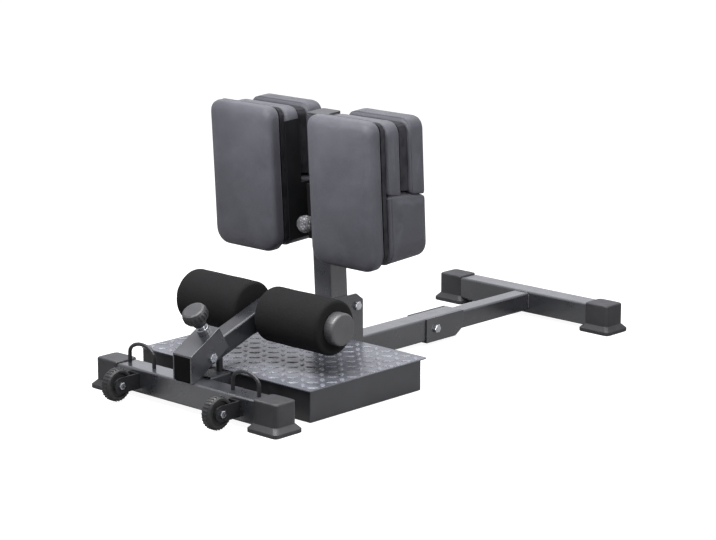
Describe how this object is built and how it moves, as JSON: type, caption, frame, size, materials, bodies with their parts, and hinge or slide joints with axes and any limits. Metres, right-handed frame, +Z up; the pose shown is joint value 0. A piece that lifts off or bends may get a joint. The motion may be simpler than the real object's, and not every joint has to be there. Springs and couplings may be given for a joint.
{
  "type": "sissy squat machine",
  "caption": "Squat machine with a T-shaped steel base and foot plate, foam ankle rollers on a hinged arm, and calf pads on a carriage that slides up a leaning post.",
  "frame": {"origin": "bottom centre of the bounding box, on the floor the four feet stand on", "axes": "+Z up, +Y from the front crossbar with the wheels to the rear crossbar, +X to the right when looking along +Y"},
  "size_m": [0.5336, 1.1836, 0.5622],
  "materials": {
    "black_paint": "satin black powder coat",
    "plate_paint": "grey patterned tread coat",
    "zinc": "zinc plated",
    "moulding": "black moulded plastic",
    "foam": "closed-cell foam",
    "wheel_tread": "hard black wheel",
    "speckled_plastic": "grey speckled knob",
    "painted_board": "board painted black",
    "vinyl": "smooth upholstery vinyl"
  },
  "bodies": {
    "frame": {"front_tube": "black_paint", "rear_tube": "black_paint", "front_cap_left": "moulding", "front_cap_right": "moulding", "rear_cap_left": "moulding", "rear_cap_right": "moulding", "front_rail": "black_paint", "rail_collar": "black_paint", "rail_liner": "moulding", "rear_rail": "black_paint", "rail_bolt": "zinc", "foot_plate": "plate_paint", "tray_front": "black_paint", "tray_rear": "black_paint", "tray_left": "black_paint", "tray_right": "black_paint", "wheel_bracket_left": "black_paint", "wheel_bracket_right": "black_paint", "wheel_bolt_left": "zinc", "wheel_bolt_right": "zinc", "band_loop_left": "black_paint", "band_loop_right": "black_paint", "roller_bracket": "black_paint", "roller_bracket_plug": "moulding", "roller_arm_bolt": "zinc", "arm_rest_post": "black_paint", "arm_screw_collar": "zinc", "post_plate_left": "black_paint", "post_plate_right": "black_paint", "post_bolt_lower": "zinc", "post_bolt_upper": "zinc", "post_tube": "black_paint", "post_cap": "moulding"},
    "transport_wheel_left": {"wheel_left": "wheel_tread"},
    "transport_wheel_right": {"wheel_right": "wheel_tread"},
    "arm": {"roller_arm": "black_paint", "roller_arm_plug": "moulding", "roller_axle": "zinc"},
    "ankle_roller_left": {"roller_foam_left": "foam", "roller_hub_left": "moulding"},
    "ankle_roller_right": {"roller_foam_right": "foam", "roller_hub_right": "moulding"},
    "screw": {"arm_screw_shaft": "zinc"},
    "screw_handle": {"arm_screw_knob": "moulding"},
    "carriage": {"pad_carriage": "black_paint", "carriage_pin_collar": "zinc", "front_board_left": "painted_board", "upper_board_left": "painted_board", "front_cushion_left": "vinyl", "middle_cushion_left": "vinyl", "rear_cushion_left": "vinyl", "lower_cushion_left": "vinyl", "front_board_right": "painted_board", "upper_board_right": "painted_board", "front_cushion_right": "vinyl", "middle_cushion_right": "vinyl", "rear_cushion_right": "vinyl", "lower_cushion_right": "vinyl"},
    "pull_pin": {"carriage_pull_pin": "speckled_plastic"}
  },
  "joints": [
    {"name": "wheel_left_spin", "type": "hinge", "parent": "frame", "child": "transport_wheel_left", "pos_m": [-0.144, -0.5588, 0.0376], "axis": [1, 0, 0], "continuous": true},
    {"name": "wheel_right_spin", "type": "hinge", "parent": "frame", "child": "transport_wheel_right", "pos_m": [0.144, -0.5588, 0.0376], "axis": [1, 0, 0], "continuous": true},
    {"name": "arm_lift", "type": "hinge", "parent": "frame", "child": "arm", "pos_m": [0, -0.4573, 0.104], "axis": [1, 0, 0], "range_deg": [0, 12]},
    {"name": "roller_left_spin", "type": "hinge", "parent": "arm", "child": "ankle_roller_left", "pos_m": [0, -0.29081, 0.16319], "axis": [1, 0, 0], "continuous": true},
    {"name": "roller_right_spin", "type": "hinge", "parent": "arm", "child": "ankle_roller_right", "pos_m": [0, -0.29081, 0.16319], "axis": [1, 0, 0], "continuous": true},
    {"name": "screw_travel", "type": "slide", "parent": "frame", "child": "screw", "axis": [0, -0.506, 0.8625], "range_m": [-0.0045, 0.0045]},
    {"name": "screw_turn", "type": "hinge", "parent": "screw", "child": "screw_handle", "pos_m": [0, -0.4538, 0.1508], "axis": [0, -0.506, 0.8625], "range_deg": [-1080, 1080]},
    {"name": "carriage_height", "type": "slide", "parent": "frame", "child": "carriage", "axis": [0, -0.0523, 0.9986], "range_m": [-0.075, 0.125]},
    {"name": "pull_pin_travel", "type": "slide", "parent": "carriage", "child": "pull_pin", "axis": [0, -0.9986, -0.0523], "range_m": [0, 0.008], "stiffness_N_per_m": 400, "springref_m": -0.005}
  ],
  "couplings": [
    {"joint": "screw_travel", "follows": "screw_turn", "m_per_rad": 0.00023873}
  ]
}
